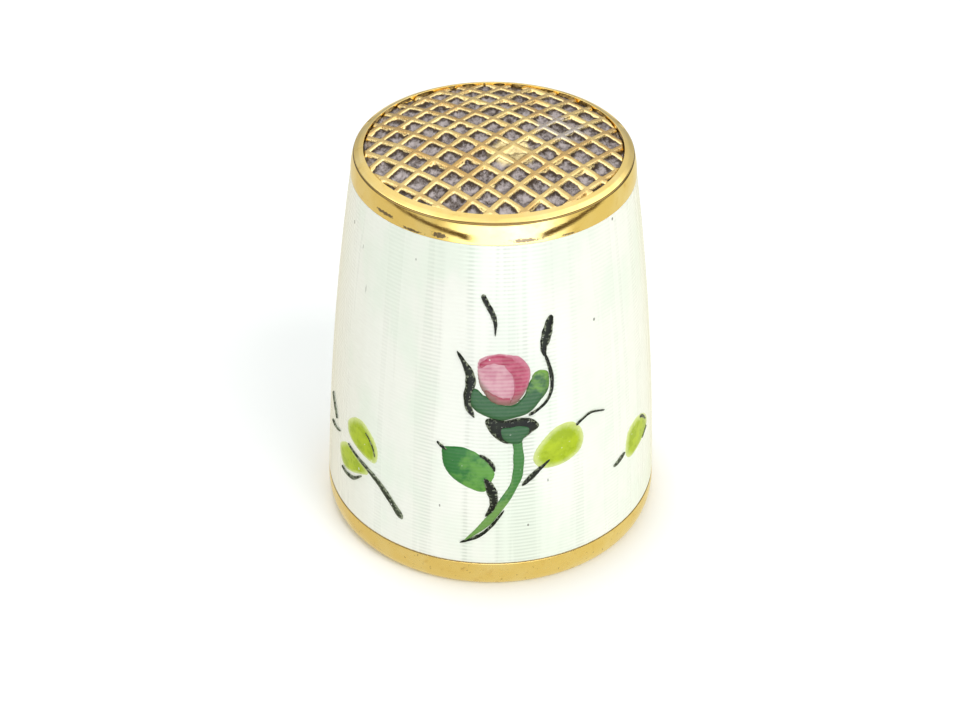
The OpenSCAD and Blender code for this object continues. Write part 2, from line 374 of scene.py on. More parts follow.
# Dark specks and one scratch in the enamel: turn, low and high end, radius, strength
SPECKS = ((39.8, 14.45, 14.51, 0.07, 0.9), (19.8, 6.25, 6.35, 0.05, 0.6), (12.9, 3.75, 3.81, 0.06, 0.8),
          (-17.2, 4.75, 4.83, 0.05, 0.7), (53.3, 19.02, 19.06, 0.08, 0.9), (-68.0, 17.75, 17.85, 0.07, 0.8),
          (-54.0, 14.75, 15.55, 0.035, 0.7), (-58.5, 17.05, 17.2, 0.05, 0.5),
          (-30.0, 17.95, 18.0, 0.05, 0.5))

# Painted shade: the enamel greyer round each rosebud
SHADE_TURNS = (3.5, 123.5, 243.5)
SHADE_Z, SHADE_R = 11.75, 8.2

# Upper edge of the calyx bowl, where the wet pink and green ran together: a curve on the drawing
BOWL_MIDDLE, BOWL_LOW, BOWL_RISE = 0.75, 11.04, 0.68


def gold_look(name, rough_low, rough_high, tarnish, streak, groove_z, front_extra=0.0, marks=()):
    """Worn gilt metal: colour drift, fine polishing lines, specks, grey marks and a dark line of painted
    shade in a groove.

    The line at height groove_z also stands for a dark joint where parts meet, and is front_extra wider on
    each side at the front.
    """
    look = Look(name, Metallic=1.0, Specular_IOR_Level=0.5)
    cloud = look.noise(look.place, 0.55, 4.0, 0.6)
    base = look.mix(look.span(cloud, 0.4, 0.75, 0.0, 0.5), GOLD, GOLD_PALE)
    base = look.mix(look.span(look.noise(look.place, 1.7, 3.0), 0.55, 0.8, 0.0, 0.6), base, GOLD_DEEP)
    specks = look.noise(look.place, 4.2, 3.0, 0.7)
    stain = look.span(specks, 1.0 - tarnish, 1.04 - tarnish)
    crumbs = look.noise(look.place, 6.0, 3.0, 0.7)
    for turn, height, half_long, half_tall in marks:
        off = look.vector("SUBTRACT", look.place, (*around(SKIN_TOP_R - 0.02, turn), height))
        off = look.vector("MULTIPLY", off, (1 / half_long, 1 / half_long, 1 / half_tall))
        ragged = look.math("MULTIPLY_ADD", crumbs, 2.6, look.vector("LENGTH", off))
        worn_off = look.span(ragged, 2.35, 1.9, 0.0, 0.85)
        base = look.mix(worn_off, base, WORN_GREY)
        stain = look.math("MAXIMUM", stain, look.math("MULTIPLY", worn_off, 0.6))
    base = look.mix(look.math("MULTIPLY", stain, 0.8), base, TARNISH_AND_SHADE)
    # painted shade: a dark line along the groove at groove_z, wider at the front; where parts meet it is
    # also the dark joint
    off = look.math("ABSOLUTE", look.math("SUBTRACT", look.z, groove_z))
    off = look.math("SUBTRACT", off, look.span(look.y, -6.2, -6.7, 0.0, front_extra))
    base = look.mix(look.span(off, 0.05, 0.025, 0.0, 0.8), base, TARNISH_AND_SHADE)
    lines = look.noise(look.combine(look.math("MULTIPLY", look.x, 0.25),
                                    look.math("MULTIPLY", look.y, 0.25),
                                    look.math("MULTIPLY", look.z, streak)), 3.0, 3.0, 0.7)
    grime = look.span(look.noise(look.place, 1.2, 5.0, 0.65), 0.4, 0.75, rough_low, rough_high)
    rough = look.math("MAXIMUM", grime, look.math("MULTIPLY", stain, 0.5))
    dents = look.noise(look.place, 0.8, 2.0)
    height = look.math("ADD", look.math("MULTIPLY", lines, 0.12), dents)
    return look.finish(base, rough, look.bump(height, 0.35, 0.03))


def crown_look():
    """Polished ridge tops, gilt pit walls with a painted highlight, and matt, oxidised pit floors with
    painted shade at their edges.
    """
    look = Look("gilt_crown")
    radius2 = look.math("ADD", look.math("MULTIPLY", look.x, look.x),
                        look.math("MULTIPLY", look.y, look.y))
    under = look.math("SQRT", look.math("SUBTRACT", DOME_R ** 2, radius2))
    depth = look.math("SUBTRACT", look.math("ADD", under, CROWN_Z - DOME_R), look.z)
    crust = look.noise(look.place, 5.5, 5.0, 0.7)
    kept = look.noise(look.place, 0.9, 2.0, 0.6)
    ragged = look.math("MULTIPLY_ADD", crust, 0.1, depth)
    ragged = look.math("SUBTRACT", ragged, look.math("MULTIPLY", look.span(kept, 0.5, 0.68), 0.07))
    pit = look.span(ragged, 0.12, 0.155)
    spot = look.vector("DISTANCE", look.place, (WORN_SPOT[0], WORN_SPOT[1], CROWN_Z - 0.1))
    worn = look.span(look.math("MULTIPLY_ADD", crust, 0.5, spot), 1.5, 1.1)
    pit = look.math("MULTIPLY", pit, look.math("SUBTRACT", 1.0, look.math("MULTIPLY", worn, 0.9)))
    gold = look.mix(look.span(look.noise(look.place, 0.6, 3.0), 0.38, 0.62), RIDGE_DEEP, RIDGE_GOLD)
    bare = look.vector("DISTANCE", look.place, (BARE_SPOT[0], BARE_SPOT[1], CROWN_Z - 0.25))
    thin = look.math("MULTIPLY", look.span(bare, 1.5, 0.9), look.span(crust, 0.3, 0.5, 0.3, 1.0))
    gold = look.mix(thin, gold, SILVER_WORN)
    pit_mottle_and_shade = look.math("MULTIPLY_ADD", look.noise(look.place, 2.2, 1.0), 0.5,
                       look.math("MULTIPLY", look.noise(look.place, 6.5, 4.0, 0.75), 0.75))
    # painted shade: the pit floors darker next to their walls, lighter in the middle, over the oxide's
    # mottling
    pit_mottle_and_shade = look.math("ADD", pit_mottle_and_shade, look.span(ragged, 0.16, 0.3, -0.16, 0.02))
    ash = look.mix(look.span(pit_mottle_and_shade, 0.44, 0.78), SOOT, ASH)
    # painted highlight: the upper part of each pit's walls paler
    gold = look.mix(look.span(ragged, 0.05, 0.11, 0.0, 0.7), gold, GOLD_PALE)
    base = look.mix(pit, gold, ash)
    # painted shade: a dark line round the foot of each pit's walls
    pit_edge_shade = look.span(look.math("ABSOLUTE", look.math("SUBTRACT", ragged, 0.14)), 0.035, 0.0)
    base = look.mix(look.math("MULTIPLY", pit_edge_shade, 0.7), base, TARNISH_AND_SHADE)
    rough = look.math("MULTIPLY_ADD", pit, 0.18, look.span(crust, 0.3, 0.7, 0.16, 0.34))
    metal = look.math("MULTIPLY_ADD", pit, -0.5, 1.0)
    return look.finish(base, rough, look.bump(crust, 0.7, 0.035), metal)


def enamel_look():
    """Milky enamel with the engine-turned lines showing through, in upright bands of painted light and
    shade.
    """
    look = Look("white_enamel", Coat_Weight=0.8, Coat_Roughness=0.05, Coat_IOR=1.5,
                Specular_IOR_Level=0.3)
    lines = look.turned_lines()
    bands = look.streaks()
    angle = look.math("ARCTAN2", look.x, look.math("MULTIPLY", look.y, -1.0))
    near = look.math("COSINE", look.math("MULTIPLY_ADD", angle, 3.0, -0.25))
    near = look.span(near, -0.5, 0.9, 0.22, 1.0)
    cloud = look.noise(look.round_place(0.6), 0.35, 3.0)
    # painted light and shade: the turned lines show more strongly in the upright bands where they catch the
    # light, more near each spray and patchy with the cloud
    clear = look.math("MULTIPLY", look.span(bands, 0.44, 0.58, 0.12, 1.0), near)
    clear = look.math("MULTIPLY", clear, look.span(cloud, 0.3, 0.55, 0.45, 1.0))
    base = look.mix(look.math("MULTIPLY", look.math("MULTIPLY", clear, 0.7), lines), MINT, MINT_SHADE)
    base = look.mix(look.span(cloud, 0.42, 0.65, 0.0, 0.45), base, MINT_CLEAR)
    # painted reflection and shade: the left side turns warmer and darker, ragged with the bands
    warm = look.span(look.math("MULTIPLY_ADD", bands, 3.0, look.x), -4.2, -6.9, 0.0, 0.4)
    base = look.mix(warm, base, MINT_LEFT_REFLECTION)
    # painted shade round each rosebud
    for turn in SHADE_TURNS:
        middle = (*around(SHADE_R, turn), SHADE_Z)
        off = look.vector("MULTIPLY", look.vector("SUBTRACT", look.place, middle), (1.0, 1.0, 0.55))
        base = look.mix(look.span(look.vector("LENGTH", off), 3.6, 1.2, 0.0, 0.22), base, MINT_SHADE)
    for turn, low_z, high_z, size, strength in SPECKS:
        nearest = look.math("MINIMUM", look.math("MAXIMUM", look.z, low_z), high_z)
        spot = look.combine(*around(skin_radius((low_z + high_z) / 2), turn), nearest)
        far = look.vector("DISTANCE", look.place, spot)
        base = look.mix(look.span(far, size, size * 0.4, 0.0, strength), base, SPECK)
    return look.finish(base, look.span(bands, 0.4, 0.6, 0.34, 0.24), look.bump(lines, 0.3, 0.01))


def paint_look(name, deep, pale, halo, dry=0.0, soft=0.12, lines_show=0.0, streaky=0.35,
               light_from=None, coat=0.35, wet=None):
    """Fired paint: brush streaks along the stroke, translucent edges and dry-brushed gaps.

    halo colours the edges as wide as soft says. deep turns to pale along the direction light_from,
    whose third value is where. wet colours the border with the calyx.
    """
    look = Look(name, Coat_Weight=coat, Coat_Roughness=0.07, Coat_IOR=1.5, Specular_IOR_Level=0.12)
    at = look.drawing("drawing")
    edge = look.split(look.drawing("edge"))[0]
    body = look.noise(at, 1.3, 3.0, 0.6)
    tone = body
    if light_from:
        slope = look.vector("DOT_PRODUCT", at, (light_from[0], light_from[1], 0.0))
        tone = look.math("MULTIPLY_ADD", look.math("SUBTRACT", slope, light_from[2]), 0.2, body)
    base = look.mix(look.span(tone, 0.36, 0.66), deep, pale)
    bristle = look.noise(look.vector("MULTIPLY", at, (0.7, 3.2, 1.0)), 3.2, 3.0, 0.65)
    base = look.mix(look.span(bristle, 0.55, 0.8, 0.0, streaky), base, pale)
    if lines_show:
        base = look.mix(look.math("MULTIPLY", look.turned_lines(), lines_show), base, MINT)
    fringe = look.math("MULTIPLY_ADD", look.noise(look.place, 5.0, 2.0), 0.16, edge)
    base = look.mix(look.span(fringe, 0.05, 0.08 + soft, 1.0, 0.0), base, halo)
    if wet:
        distance_round, height, _ = look.split(at)
        across = look.math("SUBTRACT", distance_round, BOWL_MIDDLE)
        bowl = look.math("MULTIPLY_ADD", look.math("MULTIPLY", across, across), BOWL_RISE, BOWL_LOW)
        above = look.math("SUBTRACT", height, bowl)
        above = look.math("MULTIPLY_ADD", look.noise(look.place, 2.6, 3.0, 0.6), -0.5, above)
        base = look.mix(look.span(above, 0.2, -0.36, 0.0, 0.72), base, wet)
    if dry:
        grit = look.noise(look.place, 7.0, 3.0, 0.7)
        gaps = look.math("MULTIPLY_ADD", look.turned_lines(), 0.06, grit)
        gaps = look.math("SUBTRACT", gaps, look.math("MULTIPLY", edge, 0.2))
        gap = look.span(gaps, 0.64 - dry * 0.2, 0.71 - dry * 0.2, 0.0, 0.8)
        base = look.mix(gap, base, DRY_GAP)
    speck = look.noise(look.place, 4.5, 1.0)
    base = look.mix(look.span(speck, 0.74, 0.79, 0.0, 0.6), base, MINT)
    return look.finish(base, look.span(body, 0.3, 0.7, 0.22, 0.36), look.bump(bristle, 0.3, 0.015))


def plain_metal_look(name, base_a, base_b, rough, ring_scale):
    """Turned metal inside the thimble and dull solder: rings, drift and small scratches."""
    look = Look(name, Metallic=1.0)
    rings = look.noise(look.combine(0.0, 0.0, look.math("MULTIPLY", look.z, ring_scale)), 2.0, 3.0)
    cloud = look.noise(look.place, 0.6, 4.0)
    base = look.mix(look.span(cloud, 0.35, 0.7), base_a, base_b)
    scuff = look.noise(look.place, 2.5, 4.0, 0.7)
    rough_out = look.span(scuff, 0.3, 0.75, rough, rough + 0.18)
    return look.finish(base, rough_out, look.bump(look.math("ADD", rings, scuff), 0.3, 0.02))


# ---------------------------------------------------------------- metal pieces


def dent_wobble(depth, seed, upright):
    """Slow hand-made unevenness round a ring."""
    random = np.random.default_rng(seed)
    waves = [(n, random.uniform(0, TAU), random.uniform(0, TAU)) for n in (3, 5, 8, 13, 21)]

    def wobble(angle, z):
        total = sum(np.sin(n * angle + a + upright * z) * np.sin(z * 2 + b) / n
                    for n, a, b in waves)
        return depth * total
    return wobble


def make_side_shell(material):
    """Silver-gilt wall, with shallow turning rings inside and a softened mouth edge."""
    mouth_r = skin_radius(MOUTH_LAND) - ENAMEL_T - WALL_T
    heights = np.linspace(FOOT_H, SHELL_TOP_Z, 40)
    outside = [(skin_radius(z) - ENAMEL_T, z) for z in heights]
    ring_z = np.linspace(SHELL_TOP_Z, MOUTH_LAND, 150)
    ring_cut = 0.008
    inside = [(skin_radius(z) - ENAMEL_T - WALL_T + ring_cut * math.sin(k * 1.9) ** 2, z)
              for k, z in enumerate(ring_z)]
    soft = 0.08
    mouth = [(mouth_r, soft), (mouth_r + soft * 0.3, soft * 0.3), (mouth_r + soft, 0),
             (SHELL_R - 0.02, 0)]
    outline = np.array(outside + inside + [(mouth_r, MOUTH_LAND * s) for s in (0.8, 0.5, 0.2)] + mouth)
    revolve("side_shell_turned", outline, SHELL_SEGMENTS, material, "side_shell")


def make_foot_rim(material):
    """Rounded gold rim round the open foot, with soft edges and slight dents."""
    inner = SHELL_R
    flat = 0.02
    arc = [(FOOT_R - (FOOT_R - inner - flat) * (1 - math.sin(a)), FOOT_ROUND_H * (1 - math.cos(a)))
           for a in np.linspace(0, math.pi / 2, 12)]
    top = [(SKIN_LOW_R + 0.005, FOOT_H - 0.1), (SKIN_LOW_R - 0.005, FOOT_H - 0.03),
           (SKIN_LOW_R - 0.04, FOOT_H), (inner, FOOT_H)]
    side = [(inner, FOOT_H - 0.25), (inner + FILM, FOOT_H - 0.26), (inner + FILM, 0.26), (inner, 0.25)]
    outline = filled(np.array([(inner, 0.0)] + arc + top + side), 0.09)
    revolve("foot_rim_worn", outline, RING_SEGMENTS, material, "foot_rim",
            wobble=dent_wobble(0.006, 3, 0.4))


def make_collar(material):
    """Gold collar: side band, crisp shoulder, two-facet margin and the seat for the cap."""
    bore = FIELD_R - SEAT_W
    shoulder_r = SKIN_TOP_R - COLLAR_LEAN
    shoulder_z = SKIN_TOP_Z + COLLAR_H
    rise = MARGIN_Z - shoulder_z
    middle_r = (FIELD_R + shoulder_r) / 2
    band = [(SKIN_TOP_R - COLLAR_LEAN * t * t, SKIN_TOP_Z + COLLAR_H * t, 0)
            for t in np.linspace(0.07, 0.93, 16)]
    corners = [
        (bore, SKIN_TOP_Z, 0), (SKIN_TOP_R, SKIN_TOP_Z, 0.04)] + band + [
        (band[-1][0] - 0.05, shoulder_z - 0.05, 0.01), (shoulder_r - 0.01, shoulder_z - 0.02, 0.01),
        (shoulder_r - 0.03, shoulder_z + 0.01, 0.02), (middle_r, shoulder_z + rise * 0.62, 0.04),
        (FIELD_R + 0.01, MARGIN_Z, 0.04), (FIELD_R + 0.005, SEAT_Z - FILM, 0), (bore, SEAT_Z - FILM, 0)]
    outline = filled(rounded(corners), 0.06)
    revolve("crown_collar_worn", outline, RING_SEGMENTS, material, "crown_collar",
            wobble=dent_wobble(0.005, 5, 0.8))


def disc_points(cells, radius):
    """Points of a square grid of cells, spread smoothly over a disc."""
    line = np.linspace(-1, 1, cells + 1)
    a, b = np.meshgrid(line, line, indexing="xy")
    wide = np.abs(a) >= np.abs(b)
    span = np.where(wide, a, b)
    safe = np.where(span == 0, 1, span)
    turn = np.where(wide, math.pi / 4 * b / safe, math.pi / 2 - math.pi / 4 * a / safe)
    return radius * span * np.cos(turn), radius * span * np.sin(turn)


def ridge_distance(x, y, turn, shift, offsets):
    """Distance from the middle of the nearest ridge of one family, each a little off and bent."""
    a = math.radians(turn)
    across = -math.sin(a) * x + math.cos(a) * y
    along = math.cos(a) * x + math.sin(a) * y
    best = np.full(x.shape, 9.0)
    half = len(offsets) // 2
    for k, (offset, bend) in enumerate(offsets):
        line = shift + (k - half) * GRID_PITCH + offset + bend * np.sin(along * 0.9 + k)
        best = np.minimum(best, np.abs(across - line))
    return best


def crown_height(x, y):
    """Height of the crown's worked face: dome, ridges, inverted-pyramid pits and wear."""
    random = np.random.default_rng(11)
    r = np.hypot(x, y)
    dome = CROWN_Z - DOME_R + np.sqrt(DOME_R ** 2 - r ** 2)
    gaps = []
    for turn, shift in zip(GRID_TURNS, GRID_SHIFTS):
        offsets = [(random.uniform(-0.045, 0.045), random.uniform(0.0, 0.02)) for _ in range(RIDGES)]
        gaps.append(ridge_distance(x, y, turn, shift, offsets))
    half = RIDGE_W / 2 * (1 + 0.1 * np.sin(3 * x + 2 * y) * np.cos(2.3 * y - x))
    gap = np.minimum(gaps[0], gaps[1])
    wall = np.clip(gap - half, 0, None)
    flat = 0.012 * (np.clip(gap / half, 0, 1)) ** 4
    steep = WALL_DROP * (1 - np.exp(-wall / 0.045))
    depth = flat + steep + PIT_SLOPE * np.clip(wall - 0.03, 0, None)
    rough = sum(random.uniform(0.4, 1) * np.sin(fx * x + fy * y + p) for fx, fy, p in
                random.uniform((-16, -16, 0), (16, 16, TAU), (12, 3)))
    depth = depth + 0.007 * rough * np.clip(wall * 5, 0, 1)
    worn = np.exp(-((x - WORN_SPOT[0]) ** 2 + (y - WORN_SPOT[1]) ** 2) / 0.8)
    depth = depth * (1 - 0.6 * worn)
    rim = np.clip((r - (FIELD_R - MOAT_W)) / MOAT_SOFT, 0, 1)
    depth = depth * (1 - rim) + (MOAT_DEPTH + 0.01 * rough) * rim
    return dome - depth


def make_crown_cap(material):
    """Domed cap with a finely cut waffle face, a side wall and a smooth hollow underside."""
    x, y = disc_points(CROWN_CELLS, FIELD_R)
    top = np.stack([x, y, crown_height(x, y)], -1).reshape(-1, 3)
    faces = grid_faces(CROWN_CELLS + 1, CROWN_CELLS + 1)
    rim = edge_loop(CROWN_CELLS + 1)
    under_r = DOME_R - (CAP_EDGE_Z - SEAT_Z)
    bore = FIELD_R - SEAT_W
    hollow = [(r, CROWN_Z - DOME_R + math.sqrt(under_r ** 2 - r * r)) for r in (bore, 4.6, 3.0, 1.4)]
    rings = [(FIELD_R, SEAT_Z), (bore, SEAT_Z)] + hollow
    turns = np.arctan2(top[rim, 1], top[rim, 0])
    points = [top]
    loops = [rim]
    for r, z in rings:
        loops.append(np.arange(len(rim)) + sum(len(p) for p in points))
        points.append(np.stack([r * np.cos(turns), r * np.sin(turns), np.full(len(rim), z)], -1))
    centre = sum(len(p) for p in points)
    points.append(np.array([[0, 0, CROWN_Z - DOME_R + under_r]]))
    all_faces = faces.tolist()
    for a, b in zip(loops, loops[1:]):
        a2, b2 = np.roll(a, -1), np.roll(b, -1)
        all_faces += np.stack([a, b, b2, a2], -1).tolist()
    last = loops[-1]
    all_faces += [[int(p), centre, int(q)] for p, q in zip(last, np.roll(last, -1))]
    add_mesh("crown_cap_cut", np.concatenate(points), all_faces, material, "crown_cap")


def edge_loop(side):
    """Indices round the border of a square grid of points, anticlockwise from above."""
    last = side - 1
    bottom = np.arange(0, last)
    right = np.arange(0, last) * side + last
    top = last * side + np.arange(last, 0, -1)
    left = np.arange(last, 0, -1) * side
    return np.concatenate([bottom, right, top, left])


# ---------------------------------------------------------------- enamel


def make_enamel(material):
    """Enamel coat whose outer face carries the engine-turned ripple."""
    lines = int((SKIN_TOP_Z - FOOT_H) / LINE_PITCH)
    count = lines * 4
    outside = []
    for k in range(count + 1):
        z = FOOT_H + (SKIN_TOP_Z - FOOT_H) * k / count
        ends = min(1.0, min(z - FOOT_H, SKIN_TOP_Z - z) / 0.3)
        phase = TAU * z / LINE_PITCH
        outside.append((skin_radius(z) - LINE_DEPTH * (0.5 - 0.5 * math.sin(phase)) * ends, z))
    soft = 0.03
    outside[0] = (outside[0][0] - soft, FOOT_H)
    outside[1] = (outside[1][0] - soft * 0.3, outside[1][1])
    inside = [(skin_radius(z) - ENAMEL_T, z) for z in np.linspace(SKIN_TOP_Z, FOOT_H, 9)]
    revolve("enamel_coat", np.array(outside + inside), ENAMEL_SEGMENTS, material, "enamel_ground")


def smooth_through(rows, count, closed=False):
    """Points along a smooth curve through the rows."""
    rows = np.asarray(rows, float)
    if closed:
        padded = np.vstack([rows[-1:], rows, rows[:2]])
        spans = len(rows)
    else:
        padded = np.vstack([2 * rows[0] - rows[1], rows, 2 * rows[-1] - rows[-2]])
        spans = len(rows) - 1
    s = np.linspace(0, spans, count, endpoint=not closed)
    i = np.minimum(s.astype(int), spans - 1)
    t = (s - i)[:, None]
    a, b, c, d = (padded[i + k] for k in range(4))
    return b + t / 2 * (c - a) + t ** 2 / 2 * (2 * a - 5 * b + 4 * c - d) \
        + t ** 3 / 2 * (3 * b - a - 3 * c + d)


# ---------------------------------------------------------------- painting

PAINT_T = 0.045
PAINT_ROOT = 0.02  # how deep the paint's edge is sunk in the enamel
OVER = PAINT_T * 0.7  # lift of paint that lies on other paint


def wrap(u, v, lift):
    """Drawing points wrapped on the enamel, standing `lift` proud of it."""
    r = skin_radius(v) + lift
    a = u / WRAP_R
    return np.stack([r * np.sin(a), -r * np.cos(a), v], -1)


def brush(rows, lift=0.0, columns=8):
    """One stroke through rows of (distance round, height, half width): points, faces, map."""
    rings = max(18, 7 * len(rows))
    path = smooth_through(rows, rings)
    step = np.gradient(path[:, :2], axis=0)
    step /= np.linalg.norm(step, axis=1)[:, None]
    side = np.stack([-step[:, 1], step[:, 0]], -1)
    s = np.linspace(0, 1, rings)
    tip = np.sqrt(np.clip(1 - (1 - np.clip(np.minimum(s, 1 - s) / 0.07, 0.02, 1)) ** 2, 0.01, 1))
    hand = 1 + 0.09 * np.sin(11 * s + 9 * rows[0][0]) + 0.06 * np.sin(31 * s + 5 * rows[0][1])
    width = np.clip(path[:, 2], 0.02, None) * tip * hand
    x = np.linspace(-1, 1, columns + 1)
    place = path[:, None, :2] + side[:, None] * (x[None, :, None] * width[:, None, None])
    crown = (1 - x ** 4)[None, :] * np.sqrt(tip)[:, None]
    outer = wrap(place[..., 0], place[..., 1], lift - PAINT_ROOT + (PAINT_ROOT + PAINT_T) * crown)
    inner = wrap(place[..., 0], place[..., 1], np.full(crown.shape, lift - PAINT_ROOT * 1.5))
    length = np.concatenate([[0], np.cumsum(np.linalg.norm(np.diff(path[:, :2], axis=0), axis=1))])
    maps = np.stack([length[:, None] + 0 * crown, 0.4 * x[None] + 0 * crown,
                     (1 - np.abs(x))[None] * tip[:, None]], -1)
    return close_sheet(outer, inner, maps)


def laid_flat(shape):
    """The same shape, with its drawing map as distance round and height, like a patch's."""
    points, faces, maps = shape
    turn = np.arctan2(points[:, 0], -points[:, 1])
    return points, faces, np.column_stack([turn * WRAP_R, points[:, 2], maps[:, 2]])


def close_sheet(outer, inner, maps):
    """A closed solid between two grids of points that share their border."""
    rows, cols = outer.shape[:2]
    size = rows * cols
    faces = grid_faces(rows, cols)[:, ::-1].tolist()
    faces += (grid_faces(rows, cols) + size).tolist()
    loop = np.concatenate([
        np.arange(cols - 1), np.arange(rows - 1) * cols + cols - 1,
        (rows - 1) * cols + np.arange(cols - 1, 0, -1), np.arange(rows - 1, 0, -1) * cols])
    nxt = np.roll(loop, -1)
    faces += np.stack([loop, nxt, nxt + size, loop + size], -1).tolist()
    points = np.concatenate([outer.reshape(-1, 3), inner.reshape(-1, 3)])
    maps = maps.reshape(-1, 3)
    return points, faces, np.concatenate([maps, maps])


def patch(outline, lift=0.0, rings=10, count=72, centre=None, firm=1.0):
    """A filled blob inside a smooth closed outline: points, faces, map."""
    edge = smooth_through(outline, count, closed=True)
    middle = np.array(centre if centre else np.mean(outline, axis=0))
    s = np.linspace(0.06, 1, rings)[:, None, None]
    place = middle + (edge[None] - middle) * s
    crown = np.sqrt(np.clip(1 - s[..., 0] ** 6, 0, 1)) + np.zeros(count)
    outer = wrap(place[..., 0], place[..., 1], lift - PAINT_ROOT + (PAINT_ROOT + PAINT_T) * crown)
    inner = wrap(place[-1, :, 0], place[-1, :, 1], np.full(count, lift - PAINT_ROOT * 1.5))
    heart_out = wrap(middle[0], middle[1], lift + PAINT_T)
    heart_in = wrap(middle[0], middle[1], lift - PAINT_ROOT * 1.5)
    area = 0.5 * np.sum(edge[:, 0] * np.roll(edge[:, 1], -1) - np.roll(edge[:, 0], -1) * edge[:, 1])
    points = np.concatenate([outer.reshape(-1, 3), inner, heart_out[None], heart_in[None]])
    faces = grid_faces(rings + 1, count, wrap_cols=True).tolist()
    top, bottom = (rings + 1) * count, (rings + 1) * count + 1
    here = np.arange(count)
    nxt = np.roll(here, -1)
    faces += [[top, int(b), int(a)] for a, b in zip(here, nxt)]
    faces += [[bottom, int(a), int(b)] for a, b in zip(here + rings * count, nxt + rings * count)]
    if area > 0:
        faces = [f[::-1] for f in faces]
    inward = np.repeat(np.minimum(1, firm * (1 - s[:, 0, 0])), count)
    maps = np.concatenate([np.column_stack([place.reshape(-1, 2), inward]),
                           np.column_stack([edge, np.zeros(count)]),
                           np.append(middle, 1)[None], np.append(middle, 1)[None]])
    return points, faces, maps


def paint(name, shapes, material, turn, flip, node):
    """One painted piece from brush and patch shapes, turned round the axis."""
    points, faces, maps, start = [], [], [], 0
    for shape_points, shape_faces, shape_maps in shapes:
        faces += [[start + i for i in (f[::-1] if flip else f)] for f in shape_faces]
        points.append(shape_points * ((-1, 1, 1) if flip else (1, 1, 1)))
        maps.append(shape_maps)
        start += len(shape_points)
    points = np.concatenate(points)
    a = math.radians(turn)
    c, s = math.cos(a), math.sin(a)
    points = points @ np.array([[c, s, 0], [-s, c, 0], [0, 0, 1]])
    add_mesh(name, points, faces, material, node, np.concatenate(maps))


# Painted shapes of one rosebud spray: outlines are (round, height), strokes add a half width
BUD = [(-0.74, 12.95), (-0.62, 13.45), (-0.16, 13.67), (0.46, 13.75), (1.15, 13.6), (1.66, 13.18),
       (1.88, 12.64), (1.82, 11.95), (1.58, 11.35), (1.14, 10.85), (0.53, 10.8), (-0.14, 11.25),
       (-0.6, 11.95)]
ROSE_SIDE = [(0.6, 13.45), (1.3, 13.55), (1.87, 12.85), (1.85, 12.11), (1.58, 11.45), (1.21, 11.05),
             (0.9, 10.95), (1.05, 11.44), (1.08, 12.06), (0.93, 12.7), (0.62, 13.05)]
ROSE_TOP = [(-0.56, 13.01, 0.1), (-0.34, 13.23, 0.18), (0.15, 13.42, 0.24), (0.78, 13.31, 0.3),
            (1.28, 13.01, 0.36)]
ROSE_LOW = [(-0.3, 11.75, 0.12), (0.05, 11.37, 0.2), (0.5, 11.15, 0.25), (0.95, 11.15, 0.2)]
CALYX_BOWL = [(-0.86, 11.8, 0.26), (-0.62, 11.15, 0.44), (0.1, 10.65, 0.46), (0.84, 10.51, 0.42),
              (1.58, 10.73, 0.45), (2.12, 11.37, 0.5), (2.4, 12.09, 0.46), (2.38, 12.65, 0.34)]
CUP = [(0.41, 9.65), (0.9, 9.75), (1.39, 9.8), (1.86, 9.63), (1.84, 9.28), (1.57, 8.99), (1.44, 8.75),
       (0.99, 8.73), (0.53, 9.04)]
CUP_SHADE = [(-0.28, 10.03), (-0.01, 10.2), (0.65, 10.05), (1.32, 10.15), (1.94, 10.05), (2.3, 9.7),
             (2.26, 9.47), (1.94, 9.25), (1.63, 9.0), (1.14, 8.8), (0.71, 8.75), (0.23, 9.07), (-0.1, 9.5)]
STEM = [(1.24, 8.99, 0.3), (1.32, 8.17, 0.26), (1.32, 7.28, 0.27), (1.16, 6.4, 0.26), (0.56, 5.2, 0.25),
        (-0.24, 3.95, 0.19), (-1.27, 2.78, 0.04)]
DARK_LEAF = [(-2.36, 8.33), (-1.95, 8.45), (-1.27, 8.48), (-0.54, 8.15), (0.06, 7.5), (0.25, 6.98),
             (0.06, 6.43), (-0.27, 5.87), (-1.01, 6.06), (-1.8, 6.55), (-2.25, 7.17), (-2.38, 7.81)]
LIME_LEAF = [(2.0, 7.55), (2.06, 8.06), (2.38, 8.59), (2.96, 9.18), (3.57, 9.44), (4.12, 9.36),
             (4.57, 8.87), (4.74, 8.2), (4.52, 7.54), (3.88, 7.14), (3.14, 6.98), (2.37, 7.07)]
